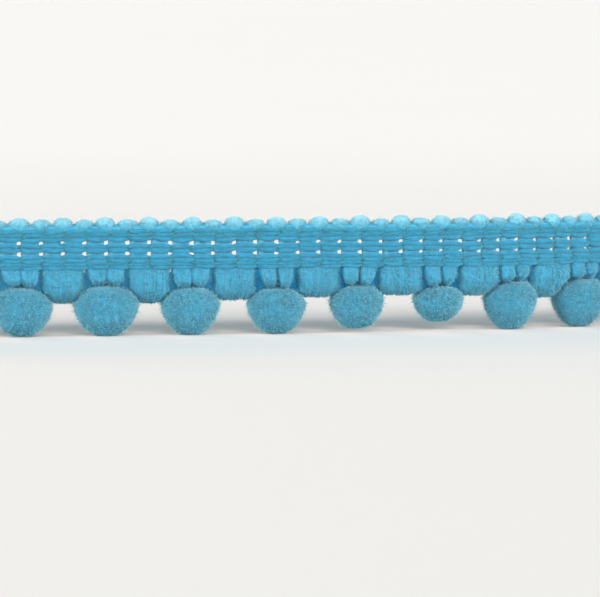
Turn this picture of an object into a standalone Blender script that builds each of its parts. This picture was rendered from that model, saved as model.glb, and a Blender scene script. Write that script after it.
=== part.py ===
"""Pompom fringe trim: a cut length of a narrow knitted band with a row of hanging balls.

It stands on its pompoms in a gentle curve. There are three kinds of piece: the knitted heading with
its looped top edge, one comb of pile loops hung from the heading, and the pompoms cut from that pile.
The row of chain stitches, the single yarns and the cut pile are finer than these solids.

Frame: +Z up, z = 0 is the surface it stands on, +X runs along the trim from its left cut end to its
right one, and +Y points to the side without the bright face. The origin is the centre of the
trim's outer box, at the bottom.
"""

import math
from collections import namedtuple

import bmesh
import bpy

MM = 0.001

# ---- Driving dimensions ----

STITCH = 2.757 * MM  # length of one chain stitch along the trim
STITCHES_PER_POMPOM = 4
FIRST_POMPOM = 2  # stitches from the left cut end to the first pompom
PIECE_GAP = 0.3 * MM

HEADING_LOW = 8.8 * MM  # lower edge of the lowest chain
HEADING_THICK = 1.8 * MM
TALL_LOOP_TOP = 15.1 * MM  # the top edge's loops are tall and short in turn
SHORT_LOOP_TOP = 14.8 * MM
LOOP_VALLEY = 14.2 * MM  # the top edge between two loops
LOOP_CHAMFER = 0.45 * MM
EDGE_STEPS_PER_STITCH = 4

FRINGE_TOP = HEADING_LOW - PIECE_GAP
SPINE_LOW = 7.8 * MM  # what joins the pile loops, under the heading
FRINGE_THICK = 3.2 * MM  # through the middle of a pile loop
SPINE_THICK = 1.8 * MM
SLIT_HALF = 0.05  # half of the slit between two pile loops, in stitches
SEAM_RISE = 0.35 * MM  # how far the seam between two fused loops runs up
SEAM_FULLNESS = 0.8  # thickness there, as a share of FRINGE_THICK
# Across one pile loop: a place in stitches from the end of its stitch, and the share of FRINGE_THICK.
LoopRow = namedtuple("LoopRow", "along fullness")
LOOP_SHAPE = (
    LoopRow(0.11, 0.86),
    LoopRow(0.36, 1.0),
    LoopRow(0.64, 1.0),
    LoopRow(0.89, 0.86),
)
LOOP_SHOULDER = 0.35  # share of a loop's drop at which it is thickest
LOOP_TOE = 0.5  # its thickness along the lower edge, as a share of the thickest

WAIST = 0.6  # height of a ball's widest place, as a share of its height: the loops press its top down
POMPOM_SEGMENTS = 16
POMPOM_RINGS = 9

# Where the trim bends, seen from above. Between two rows it turns evenly, so a stretch is an arc, and
# where two rows have the same direction it is straight.
Bend = namedtuple("Bend", "stitches degrees")
BENDS = (
    Bend(0, -12.5),
    Bend(10, -9.0),
    Bend(14, -8.5),
    Bend(18, -8.5),
    Bend(26, -6.5),
    Bend(30, 0.5),
    Bend(34, 7.5),
    Bend(38, 13.5),
    Bend(46, 18.0),
    Bend(52, 18.5),
)
START = (-70.33 * MM, 5.63 * MM)  # the left cut end, which puts the outer box's centre at x = y = 0

# One row for each pompom, from the left, in millimetres: its size along, up and through the trim, how
# far it hangs off its place along the trim, how far it hangs clear of the surface, and the lower edge
# of the fused pile loops on its right.
Pompom = namedtuple("Pompom", "width height depth sway lift loops_low")
POMPOMS = (
    Pompom(7.9, 6.3, 7.0, 0.1, 0.0, 4.2),
    Pompom(8.2, 6.5, 7.2, -0.2, 0.0, 4.3),
    Pompom(8.0, 6.4, 7.2, 0.3, 0.0, 4.15),
    Pompom(8.7, 6.6, 7.4, 0.0, 0.0, 4.1),
    Pompom(7.8, 6.3, 7.0, -0.2, 0.0, 4.35),
    Pompom(7.9, 6.1, 7.0, 0.0, 0.0, 4.6),
    Pompom(7.4, 5.8, 6.7, -0.5, 0.5, 4.75),
    Pompom(6.9, 4.8, 6.5, -0.4, 1.2, 4.5),
    Pompom(7.5, 6.5, 6.9, -1.0, 0.0, 4.05),
    Pompom(8.0, 6.6, 7.1, -1.1, 0.0, 4.1),
    Pompom(7.7, 6.4, 7.0, -0.4, 0.0, 4.2),
    Pompom(8.1, 6.5, 7.2, 0.1, 0.0, 4.1),
    Pompom(7.8, 6.4, 7.0, 0.2, 0.0, 4.2),
)
FIRST_LOOPS_LOW = 4.2  # of the pile loop left of the first pompom

# Colour, roughness
YARN_BLUE = (0.075, 0.36, 0.53, 1.0)
PILE_BLUE = (0.085, 0.37, 0.53, 1.0)
BALL_BLUE = (0.10, 0.39, 0.55, 1.0)
YARN_ROUGHNESS = 0.9

# ---- Sizes worked out from them ----

STITCHES = STITCHES_PER_POMPOM * len(POMPOMS)
PATH_STEPS_PER_STITCH = 16
POLE_DROP = math.cos(math.pi / POMPOM_RINGS)  # how far the flat spot is below a unit ball's centre


def direction(stitches):
    """The trim's direction in plan, in radians from +X."""
    for low, high in zip(BENDS, BENDS[1:]):
        if stitches <= high.stitches:
            share = (stitches - low.stitches) / (high.stitches - low.stitches)
            return math.radians(low.degrees + share * (high.degrees - low.degrees))
    return math.radians(BENDS[-1].degrees)


def walk_path():
    """Points along the trim's middle in plan, PATH_STEPS_PER_STITCH for each stitch."""
    x, y = START
    points = [(x, y)]
    step = STITCH / PATH_STEPS_PER_STITCH
    for i in range(STITCHES * PATH_STEPS_PER_STITCH):
        angle = direction((i + 0.5) / PATH_STEPS_PER_STITCH)
        x += step * math.cos(angle)
        y += step * math.sin(angle)
        points.append((x, y))
    return points


PATH = walk_path()


def place(stitches, across, height):
    """World point at a place along the trim, a distance across it towards its back, and a height."""
    at = min(max(stitches, 0.0), STITCHES) * PATH_STEPS_PER_STITCH
    i = min(int(at), len(PATH) - 2)
    share = at - i
    angle = direction(stitches)
    x = PATH[i][0] + share * (PATH[i + 1][0] - PATH[i][0]) - across * math.sin(angle)
    y = PATH[i][1] + share * (PATH[i + 1][1] - PATH[i][1]) + across * math.cos(angle)
    return x, y, height


def clear_scene():
    for thing in list(bpy.data.objects):
        bpy.data.objects.remove(thing, do_unlink=True)


def yarn_material(name, colour):
    material = bpy.data.materials.new(name)
    material.use_nodes = True
    shader = material.node_tree.nodes["Principled BSDF"]
    shader.inputs["Base Color"].default_value = colour
    shader.inputs["Roughness"].default_value = YARN_ROUGHNESS
    shader.inputs["Metallic"].default_value = 0.0
    return material


def add_object(name, mesh, material, collection):
    part = bpy.data.objects.new(name, mesh)
    mesh.materials.append(material)
    collection.objects.link(part)
    return part


def loft(name, rings, material, collection):
    """One closed body through rings of as many points each, with its first and last ring capped."""
    form = bmesh.new()
    rows = [[form.verts.new(point) for point in ring] for ring in rings]
    around = len(rings[0])
    for row, following in zip(rows, rows[1:]):
        for i in range(around):
            j = (i + 1) % around
            form.faces.new((row[i], row[j], following[j], following[i]))
    form.faces.new(rows[0])
    form.faces.new(rows[-1])
    bmesh.ops.recalc_face_normals(form, faces=form.faces)
    mesh = bpy.data.meshes.new(name)
    form.to_mesh(mesh)
    form.free()
    return add_object(name, mesh, material, collection)


# ---- Heading ----


def edge_height(stitches):
    """Height of the looped top edge. A loop stands over each end of a stitch."""
    column = round(stitches)
    top = SHORT_LOOP_TOP if column % 2 else TALL_LOOP_TOP
    off = 2 * abs(stitches - column)
    return LOOP_VALLEY + (top - LOOP_VALLEY) * math.sqrt(max(0.0, 1 - off * off))


def build_heading(collection):
    """The knitted band: a flat strip on edge, with its top edge scalloped by the loops."""
    half = HEADING_THICK / 2
    rings = []
    for i in range(STITCHES * EDGE_STEPS_PER_STITCH + 1):
        at = i / EDGE_STEPS_PER_STITCH
        top = edge_height(at)
        section = (
            (-half, HEADING_LOW),
            (-half, top - LOOP_CHAMFER),
            (-half + LOOP_CHAMFER, top),
            (half - LOOP_CHAMFER, top),
            (half, top - LOOP_CHAMFER),
            (half, HEADING_LOW),
        )
        rings.append([place(at, across, height) for across, height in section])
    return loft("heading", rings, yarn_material("heading_yarn", YARN_BLUE), collection)


# ---- Pile loops ----


def hang_place(number):
    """Where a pompom hangs along the trim, in stitches from the left cut end."""
    return FIRST_POMPOM + STITCHES_PER_POMPOM * number + POMPOMS[number].sway * MM / STITCH


def waist_height(pompom):
    return (pompom.lift + WAIST * pompom.height) * MM


def crown_height(pompom):
    """From a ball's widest place to its top."""
    return (1 - WAIST) * pompom.height * MM


def over_pompom(stitches, number):
    """Lowest height that clears this pompom by the gap, or 0 beside it."""
    pompom = POMPOMS[number]
    reach = pompom.width * MM / 2 + PIECE_GAP
    off = (stitches - hang_place(number)) * STITCH / reach
    if abs(off) >= 1:
        return 0.0
    rise = (crown_height(pompom) + PIECE_GAP) * math.sqrt(1 - off * off)
    return waist_height(pompom) + rise


def loops_low(stitches):
    """Lower edge of the pile loops at this place, over the pompoms and between them."""
    period = int(stitches) // STITCHES_PER_POMPOM
    half = STITCHES_PER_POMPOM * period + FIRST_POMPOM
    right_of = min(period - (stitches < half), len(POMPOMS) - 1)
    hang = POMPOMS[right_of].loops_low if right_of >= 0 else FIRST_LOOPS_LOW
    near = [n for n in (period - 1, period, period + 1) if 0 <= n < len(POMPOMS)]
    return max([hang * MM] + [over_pompom(stitches, n) for n in near])


def is_seam(column):
    """Whether two fused loops meet at this end of a stitch, midway between two pompoms."""
    return column % STITCHES_PER_POMPOM == 0


def fringe_stations():
    """(place, lower edge, thickness) all along the comb: each stitch holds one pile loop, and a slit
    parts it from the next one up to the spine, or a shallow seam where the two are fused."""
    stations = []
    for column in range(STITCHES + 1):
        if is_seam(column):
            stations.append((column, loops_low(column) + SEAM_RISE, FRINGE_THICK * SEAM_FULLNESS))
        else:
            stations.append((column - SLIT_HALF, SPINE_LOW, SPINE_THICK))
            stations.append((column + SLIT_HALF, SPINE_LOW, SPINE_THICK))
        if column < STITCHES:
            for row in LOOP_SHAPE:
                at = column + row.along
                stations.append((at, min(loops_low(at), SPINE_LOW), FRINGE_THICK * row.fullness))
    return stations


def build_loop_fringe(collection):
    """One comb: a spine under the heading, and a tooth for each pile loop."""
    rings = []
    for at, low, thick in fringe_stations():
        drop = FRINGE_TOP - low
        neck = SPINE_THICK / 2
        half = thick / 2
        section = (
            (-neck, FRINGE_TOP),
            (-half, FRINGE_TOP - LOOP_SHOULDER * drop),
            (-LOOP_TOE * half, low),
            (LOOP_TOE * half, low),
            (half, FRINGE_TOP - LOOP_SHOULDER * drop),
            (neck, FRINGE_TOP),
        )
        rings.append([place(at, across, height) for across, height in section])
    return loft("loop_fringe", rings, yarn_material("pile_yarn", PILE_BLUE), collection)


# ---- Pompoms ----


def build_pompom(number, material, collection):
    """A ball of cut pile, wider than it is high and flatter above its waist than below it, with a
    small flat spot underneath."""
    pompom = POMPOMS[number]
    form = bmesh.new()
    bmesh.ops.create_uvsphere(
        form, u_segments=POMPOM_SEGMENTS, v_segments=POMPOM_RINGS, radius=1.0
    )
    foot_height = WAIST * pompom.height * MM / POLE_DROP
    for vertex in form.verts:
        vertex.co.z = max(vertex.co.z, -POLE_DROP)
        vertex.co.x *= pompom.width * MM / 2
        vertex.co.y *= pompom.depth * MM / 2
        vertex.co.z *= crown_height(pompom) if vertex.co.z > 0 else foot_height
    mesh = bpy.data.meshes.new(f"pompom_{number + 1:02d}")
    form.to_mesh(mesh)
    form.free()
    mesh.shade_smooth()
    mesh.set_sharp_from_angle(angle=math.radians(50))
    ball = add_object(mesh.name, mesh, material, collection)
    at = hang_place(number)
    ball.location = place(at, 0.0, waist_height(pompom))
    ball.rotation_euler.z = direction(at)
    return ball


def main():
    clear_scene()
    collection = bpy.data.collections.new("pompom_fringe_trim")
    bpy.context.scene.collection.children.link(collection)
    build_heading(collection)
    build_loop_fringe(collection)
    material = yarn_material("cut_pile", BALL_BLUE)
    for number in range(len(POMPOMS)):
        build_pompom(number, material.copy(), collection)


main()
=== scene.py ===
import math
from collections import namedtuple

import bpy
import numpy as np
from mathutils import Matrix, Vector


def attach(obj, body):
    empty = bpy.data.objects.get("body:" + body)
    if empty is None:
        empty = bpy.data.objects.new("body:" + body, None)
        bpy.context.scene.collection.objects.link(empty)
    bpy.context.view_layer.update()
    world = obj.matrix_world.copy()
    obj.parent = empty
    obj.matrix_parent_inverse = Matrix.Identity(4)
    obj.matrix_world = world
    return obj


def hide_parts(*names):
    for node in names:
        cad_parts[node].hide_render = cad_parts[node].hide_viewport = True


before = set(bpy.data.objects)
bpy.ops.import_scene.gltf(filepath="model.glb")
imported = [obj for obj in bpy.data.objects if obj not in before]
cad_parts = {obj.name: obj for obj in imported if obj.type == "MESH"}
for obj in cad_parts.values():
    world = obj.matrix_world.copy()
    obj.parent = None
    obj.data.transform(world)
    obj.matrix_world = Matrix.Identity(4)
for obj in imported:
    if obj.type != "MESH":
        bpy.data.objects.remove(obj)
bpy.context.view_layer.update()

# Looks for the pompom fringe trim: the yarns, loops and cut pile around its plain solids.
# Each piece is worked out on a straight trim, where x runs along it from its left cut end, y goes
# through it towards its back and z is up, and lay() then bends it to its curve.

MM = 0.001

# ---- Driving dimensions, as in the part's source ----

STITCH = 2.757 * MM
STITCHES_PER_POMPOM = 4
FIRST_POMPOM = 2  # stitches from the left cut end
TALL_LOOP_TOP = 15.1 * MM
SHORT_LOOP_TOP = 14.8 * MM
WAIST = 0.6  # height of a ball's widest place, as a share of its height
POMPOM_RINGS = 9

# The trim's direction in plan, from +X, at places along it from its left cut end, where START is.
Bend = namedtuple("Bend", "stitches degrees")
BENDS = (
    Bend(0, -12.5),
    Bend(10, -9.0),
    Bend(14, -8.5),
    Bend(18, -8.5),
    Bend(26, -6.5),
    Bend(30, 0.5),
    Bend(34, 7.5),
    Bend(38, 13.5),
    Bend(46, 18.0),
    Bend(52, 18.5),
)
START = (-70.33 * MM, 5.63 * MM)

# Each pompom's size along, up and through the trim, how far it hangs off its place along the trim and
# clear of the surface, and the lower edge of the fused pile loops on its right, in millimetres.
Pompom = namedtuple("Pompom", "width height depth sway lift loops_low")
POMPOMS = (
    Pompom(7.9, 6.3, 7.0, 0.1, 0.0, 4.2),
    Pompom(8.2, 6.5, 7.2, -0.2, 0.0, 4.3),
    Pompom(8.0, 6.4, 7.2, 0.3, 0.0, 4.15),
    Pompom(8.7, 6.6, 7.4, 0.0, 0.0, 4.1),
    Pompom(7.8, 6.3, 7.0, -0.2, 0.0, 4.35),
    Pompom(7.9, 6.1, 7.0, 0.0, 0.0, 4.6),
    Pompom(7.4, 5.8, 6.7, -0.5, 0.5, 4.75),
    Pompom(6.9, 4.8, 6.5, -0.4, 1.2, 4.5),
    Pompom(7.5, 6.5, 6.9, -1.0, 0.0, 4.05),
    Pompom(8.0, 6.6, 7.1, -1.1, 0.0, 4.1),
    Pompom(7.7, 6.4, 7.0, -0.4, 0.0, 4.2),
    Pompom(8.1, 6.5, 7.2, 0.1, 0.0, 4.1),
    Pompom(7.8, 6.4, 7.0, 0.2, 0.0, 4.2),
)
FIRST_LOOPS_LOW = 4.2  # of the pile loop left of the first pompom

STITCHES = STITCHES_PER_POMPOM * len(POMPOMS)
PATH_STEPS_PER_STITCH = 16
POLE_DROP = math.cos(math.pi / POMPOM_RINGS)  # how far a unit ball's flat spot is below its centre

# ---- Yarn and pile sizes ----

# A tuft or a hair is given by its radius from its root to its tip.

# The chain rows from the top down: the height of each one's middle, how far it lies behind the
# others, how wide it is drawn beside them, and how far its stitches lie to the right of the columns.
Row = namedtuple("Row", "height behind spread shift")
ROWS = (
    Row(13.12 * MM, -0.06 * MM, 0.50, 0.35 * MM),
    Row(12.55 * MM, 0.02 * MM, 0.96, 0.15 * MM),
    Row(11.18 * MM, 0.0, 1.0, 0.10 * MM),
    Row(9.80 * MM, 0.0, 1.0, 0.20 * MM),
    Row(8.92 * MM, 0.08 * MM, 0.70, 0.20 * MM),
)

# One leg of a chain stitch, from its tail behind the last stitch to the middle of its head: how far
# it has come from its base, half the distance between the two legs, how far behind the trim's
# middle it is, and the yarn's radius there, in millimetres.
Leg = namedtuple("Leg", "run apart behind radius")
CHAIN_LEG = (
    Leg(-0.75, 0.05, 0.05, 0.20),
    Leg(-0.35, 0.08, -0.28, 0.24),
    Leg(0.00, 0.12, -0.44, 0.27),
    Leg(0.45, 0.21, -0.51, 0.32),
    Leg(0.95, 0.30, -0.53, 0.37),
    Leg(1.45, 0.33, -0.54, 0.385),
    Leg(1.95, 0.31, -0.53, 0.375),
    Leg(2.40, 0.24, -0.50, 0.34),
    Leg(2.76, 0.15, -0.44, 0.30),
    Leg(3.05, 0.08, -0.32, 0.26),
    Leg(3.25, 0.00, -0.15, 0.24),
)
CHAIN_POINTS = 30
CHAIN_SIDES = 8
CHAIN_SLANT = -0.55  # how far to the right a stitch's points lie, for their height over its middle
YARN_TURNS = 1 / (6.5 * MM)
# A stitch's tone at its face, and the painted shade that darkens its yarn where it dips back into the
# heading.
CHAIN_TONE = 0.6
CHAIN_FACE = -0.316 * MM  # from here forwards a stitch's yarn has its full tone
CHAIN_FADE = 0.42 * MM  # and over this far behind it the tone would fade out
# How much the stitches of a row differ in spread, place, lean, step and thickness.
UNEVEN_SPREAD = 0.08
UNEVEN_PLACE = 0.03 * MM
UNEVEN_LEAN = 0.035
UNEVEN_STEP = 0.09 * MM
UNEVEN_THICKNESS = 0.04
ROW_HAIRS = 2600
ROW_HAIR = np.array([0.032, 0.008]) * MM

UNDERLAP_RADIUS = 0.20 * MM
UNDERLAP_MIDDLE = 0.42 * MM  # how far behind the trim's middle it runs, and how far it swings
UNDERLAP_SWING = 0.28 * MM
UNDERLAP_WANDER = 0.07 * MM
UNDERLAP_POINTS_PER_STITCH = 10

WEFT_FOOT = 8.6 * MM
WEFT_LEG = 0.83 * MM  # from a column to the middle of the crossing yarns beside it
WEFT_WIDE = 0.56 * MM
WEFT_DEEP = 0.40 * MM
WEFT_BEHIND = 0.05 * MM
WEFT_WAVER = 0.04 * MM
# The crossing yarns and their fibres lie behind the rows and are darkened with painted shade.
WEFT_PAINTED_SHADE = 0.25
WEFT_FIBRE = 0.06 * MM
WEFT_FIBRES = 3
WEFT_FIBRE_PAINTED_SHADE = 0.35

LOOP_FOOT = 13.3 * MM
LOOP_FOOT_SHARE = -0.4  # the foot's place where a loop's waist is 0 and its top 1
LOOP_WAIST = 13.85 * MM
TALL_LOOP_HALF = 1.50 * MM
SHORT_LOOP_HALF = 1.43 * MM
LOOP_SQUARE = 2.2  # 2 makes an ellipse, and more a squarer loop
LOOP_DEEP = 0.95 * MM
LOOP_BODY = 0.88  # size of a loop's dense inside, as a share of the loop
LOOP_RINGS = (-0.4, -0.2, 0.0, 0.25, 0.45, 0.62, 0.76, 0.87, 0.94, 0.985)
# Painted light and shade on the loops: paler from this height up over this far, darker at their feet.
LOOP_PAINTED_LIGHT_FROM = 13.7 * MM
LOOP_PAINTED_LIGHT_OVER = 1.4 * MM
LOOP_TUFTS = 540
LOOP_TUFT = np.array([0.050, 0.012]) * MM
LOOP_HAIRS = 1500
LOOP_HAIR = np.array([0.018, 0.011, 0.003]) * MM
RIDGE_END = 0.6  # stitches from a cut end to the ridge between the loops
RIDGE_HEIGHT = 13.72 * MM
RIDGE_HALF = 0.42 * MM
RIDGE_DEEP = 0.72 * MM
# The ridge lies deep between the loops and is darkened with painted shade.
RIDGE_PAINTED_SHADE = 0.10

# The large pile loops hang in fused pairs between the pompoms, and two small ones, the petals, hang
# over each pompom.
PILE_TOP = 9.2 * MM
PILE_TUCK = (7.0 * MM, 8.95 * MM)  # between these heights the loops draw in under the lowest chain
PILE_NECK = 0.55 * MM  # how far they stand out where they are drawn in
PILE_BULGE = 1.42 * MM
PETAL_BULGE = 1.95 * MM
PILE_ROUND = 0.55  # below 1, a loop is flatter across its face than a round one
PILE_POINTS = 17
PILE_FIBRE = 0.038 * MM
PAIR_FIBRES = 6
PETAL_FIBRES = 3
FIBRE_WANDER = 0.03 * MM
FIBRE_SWAY = 0.06 * MM
SEAM_DEPTH = 0.16  # where two fused loops meet, as a share of their depth
SEAM_WIDTH = 0.32 * MM
BODY_INSET = 0.15 * MM  # how far a loop's dense inside is from its side edges
BODY_COVER = 0.13 * MM  # and how much its tufts cover it
BODY_LIFT = 0.20 * MM
# A pile loop's dense inside, under its tufts, is darkened with painted shade.
BODY_PAINTED_SHADE = 0.6
PAIR_TUFTS = 1800
PETAL_TUFTS = 400
TUFTS_PER_FIBRE = 6
FRONT_TUFTS = 0.6  # share of a loop's tufts that are on its front
PILE_TUFT = np.array([0.080, 0.026]) * MM
PILE_HAIRS = 1500
PILE_HAIR = np.array([0.024, 0.005]) * MM
PETAL_APART = 1.26 * MM  # from the middle over a pompom to a petal's top
PETAL_TIPS_APART = 0.86 * MM  # and from the pompom's middle to the petal's tip
FULL_POMPOMS = 5  # the first ones, whose petals are fuller
FULL_PETAL = 1.3
SLIM_PETAL = 1.05

# The inner pile yarns behind the petals, darkened with painted shade.
WEB_REACH = 1.15 * STITCH
WEB_MIDDLE = 0.20 * MM
WEB_HALF = 0.22 * MM
WEB_TOP = 9.5 * MM
WEB_FOOT = 6.3 * MM  # beside the pompom
WEB_HAIRS = 260
WEB_HAIR = np.array([0.055, 0.012]) * MM
# Columns where daylight shows under the lowest chain.
PEEP_COLUMNS = (13, 14, 17, 18)
PEEP_HALF = 0.26 * MM
PEEP_SHIFT = 0.02 * MM
WEB_PEEP_HALF = 0.22 * MM
WEB_PEEP_TOP = 8.05 * MM

TUFTS_PER_POMPOM = 5300
BALL_TUFT = np.array([0.060, 0.016]) * MM
TUFT_ROOTS = 0.90  # how far out a ball's tufts start, as a share of its size
HAIRS_PER_POMPOM = 800
BALL_HAIR = np.array([0.030, 0.024, 0.005]) * MM
BALL_TAPER = 0.11  # how much narrower a ball is at its foot
BALL_LEAN = 0.9  # how much of its sway its top leans back
CORE_SIZE = 0.93
# A ball's core, deep under its tufts, is darkened with painted shade.
CORE_PAINTED_SHADE = 0.4
CORE_MAP = 0.25  # share of a pompom's map, along its foot, that its core has


def dice(number):
    """A seeded source of random numbers, one for each piece."""
    return np.random.default_rng(7300 + number)


# ---- The trim's curve ----


def direction(stitches):
    """The trim's direction in plan, in radians from +X."""
    at = [bend.stitches for bend in BENDS]
    return np.radians(np.interp(stitches, at, [bend.degrees for bend in BENDS]))


def walk_path():
    """Points along the trim's middle in plan, PATH_STEPS_PER_STITCH for each stitch."""
    turn = direction((np.arange(STITCHES * PATH_STEPS_PER_STITCH) + 0.5) / PATH_STEPS_PER_STITCH)
    steps = STITCH / PATH_STEPS_PER_STITCH * np.stack([np.cos(turn), np.sin(turn)], 1)
    return np.array(START) + np.concatenate([[(0.0, 0.0)], np.cumsum(steps, 0)])


PATH = walk_path()


def lay(points):
    """Bends points of the straight trim to its curve."""
    stitches = points[..., 0] / STITCH
    inside = np.clip(stitches, 0, STITCHES)
    over = (stitches - inside) * STITCH
    at = np.arange(len(PATH)) / PATH_STEPS_PER_STITCH
    turn = direction(inside)
    x = np.interp(inside, at, PATH[:, 0]) + over * np.cos(turn) - points[..., 1] * np.sin(turn)
    y = np.interp(inside, at, PATH[:, 1]) + over * np.sin(turn) + points[..., 1] * np.cos(turn)
    return np.stack([x, y, points[..., 2]], -1)


def pompom_column(number):
    """A pompom's own place along the straight trim, in metres."""
    return (FIRST_POMPOM + STITCHES_PER_POMPOM * number) * STITCH


def hang_place(number):
    """Where a pompom hangs along the straight trim, with its sway."""
    return pompom_column(number) + POMPOMS[number].sway * MM


def waist_height(pompom):
    return (pompom.lift + WAIST * pompom.height) * MM


def crown_height(pompom):
    """From a ball's widest place to its top."""
    return (1 - WAIST) * pompom.height * MM


# ---- Meshes of many strands ----


def unit(vectors):
    return vectors / np.maximum(np.linalg.norm(vectors, axis=-1, keepdims=True), 1e-12)


def combed(drift, away, share):
    """Drifts with this share of what they have along the outward directions taken off."""
    away = unit(away)
    return drift - share * (drift * away).sum(-1, keepdims=True) * away


def smooth_through(points, count):
    """count points on a Catmull-Rom curve through the given ones."""
    points = np.asarray(points, float)
    ends = np.concatenate([2 * points[:1] - points[1:2], points, 2 * points[-1:] - points[-2:-1]])
    at = np.linspace(0, len(points) - 1, count)
    i = np.minimum(at.astype(int), len(points) - 2)
    t = (at - i)[:, None]
    a, b, c, d = ends[i], ends[i + 1], ends[i + 2], ends[i + 3]
    return b + 0.5 * t * (c - a + t * (2 * a - 5 * b + 4 * c - d + t * (3 * (b - c) + d - a)))


def crossways(lines):
    """Two directions across each line at each of its points, carried along without twist."""
    ahead = unit(np.gradient(lines, axis=1))
    start = np.where(np.abs(ahead[:, :1, 1:2]) < 0.8, (0.0, 1.0, 0.0), (1.0, 0.0, 0.0))[:, 0]
    side = np.empty_like(ahead)
    for i in range(lines.shape[1]):
        before = start if i == 0 else side[:, i - 1]
        along = ahead[:, i]
        side[:, i] = unit(before - (before * along).sum(-1, keepdims=True) * along)
    return side, np.cross(ahead, side)


def lengths_along(lines):
    """How far each line has come at each of its points."""
    hops = np.linalg.norm(np.diff(lines, axis=1), axis=2)
    return np.concatenate([np.zeros((len(lines), 1)), np.cumsum(hops, 1)], 1)


# Closed strands of one kind: a row of rings of points for each, their places in the straight yarn,
# how far along each strand a ring is, its tone, whether the far ends are pointed, and how long a
# strand is for its girth.
Group = namedtuple("Group", "rings yarn share tone pointed slimness")


class Strands:
    """Gathers closed strands of yarn, and makes them into one mesh.

    Each strand has its own cell in the unit square of its map, and each of its points holds yarn,
    its place in the straight yarn, and tone, from 0 deep inside the trim to 1 at its surface; a low
    tone paints shade into the yarn."""

    def __init__(self):
        self.groups = []

    def add(self, lines, radius, sides, tone=1.0, turns=0.0, pointed=False):
        """Adds a strand along each line, with a point at its far end or a flat cut at both ends."""
        count, steps = lines.shape[:2]
        side, up = crossways(lines)
        run = lengths_along(lines)
        angle = 2 * np.pi * (np.arange(sides) / sides + turns * run[..., None])
        radius = np.broadcast_to(radius, (count, steps))[..., None, None]
        ring = np.cos(angle)[..., None] * side[:, :, None] + np.sin(angle)[..., None] * up[:, :, None]
        self.add_rings(lines[:, :, None] + radius * ring, tone, pointed)

    def add_rings(self, rings, tone=1.0, pointed=False):
        """Adds a closed form through each row of rings of points."""
        count, steps, sides = rings.shape[:3]
        middle = rings.mean(2)
        run = lengths_along(middle)
        radius = np.linalg.norm(rings - middle[:, :, None], axis=-1)
        corner = 2 * np.pi * np.arange(sides) / sides
        shift = dice(len(self.groups)).uniform(0, 0.2, (count, 1, 1))
        yarn = np.stack([
            np.broadcast_to(run[..., None] + shift, radius.shape),
            radius * np.cos(corner) + shift,
            radius * np.sin(corner),
        ], -1)
        tone = np.broadcast_to(tone, (count, steps))
        slimness = float(run[:, -1].mean() / (6.28 * radius.mean()))
        self.groups.append(Group(rings, yarn, run / run[:, -1:], tone, pointed, slimness))

    def build(self, name, material, spare=0.0):
        """One mesh of all the strands. spare is the share of the map, along its foot, left empty."""
        count = sum(len(group.rings) for group in self.groups)
        wide = max(1, round(math.sqrt(count / max(self.groups[0].slimness, 0.2))))
        cells = Cells(wide, math.ceil(count / wide), spare)
        points, yarns, tones, faces = [], [], [], []
        used, placed = 0, 0
        for group in self.groups:
            where, yarn, tone = strand_points(group)
            number, each = where.shape[:2]
            points.append(where.reshape(-1, 3))
            yarns.append(yarn.reshape(-1, 3))
            tones.append(tone.reshape(-1))
            faces += strand_faces(group, used + each * np.arange(number), placed + np.arange(number), cells)
            used += each * number
            placed += number
        corners, sizes, places = (np.concatenate(part) for part in zip(*faces))
        return mesh_object(
            name, lay(np.concatenate(points)), corners, sizes, places,
            np.concatenate(yarns), np.concatenate(tones), material,
        )


def strand_points(group):
    """Each strand's points, yarn places and tones. A pointed one's last ring becomes one point."""
    count, steps, sides = group.rings.shape[:3]
    last = steps - 1 if group.pointed else steps
    points = group.rings[:, :last].reshape(count, last * sides, 3)
    yarn = group.yarn[:, :last].reshape(count, last * sides, 3)
    tone = np.repeat(group.tone[:, :last], sides, axis=1)
    if group.pointed:
        points = np.concatenate([points, group.rings[:, -1].mean(1, keepdims=True)], 1)
        yarn = np.concatenate([yarn, group.yarn[:, -1].mean(1, keepdims=True)], 1)
        tone = np.concatenate([tone, group.tone[:, -1:]], 1)
    return points, yarn, tone


# The map is cut into cells, so many wide and so many high, above the share left spare at its foot.
Cells = namedtuple("Cells", "wide high spare")
CELL_EDGE = 0.06
CAP_WIDE = 0.03
CAP_HIGH = 0.4


def on_map(cells, numbers, u, v):
    """Places on the map for corners in these cells: u along a strand and v around it, from 0 to 1."""
    shape = (len(numbers), -1) + (1,) * (u.ndim - 2)
    across = (numbers % cells.wide).reshape(shape)
    up = (numbers // cells.wide).reshape(shape)
    inner = 1 - 2 * CELL_EDGE
    return np.stack([
        (across + CELL_EDGE + inner * u) / cells.wide,
        cells.spare + (1 - cells.spare) * (up + CELL_EDGE + inner * v) / cells.high,
    ], -1).reshape(-1, 2)


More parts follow.
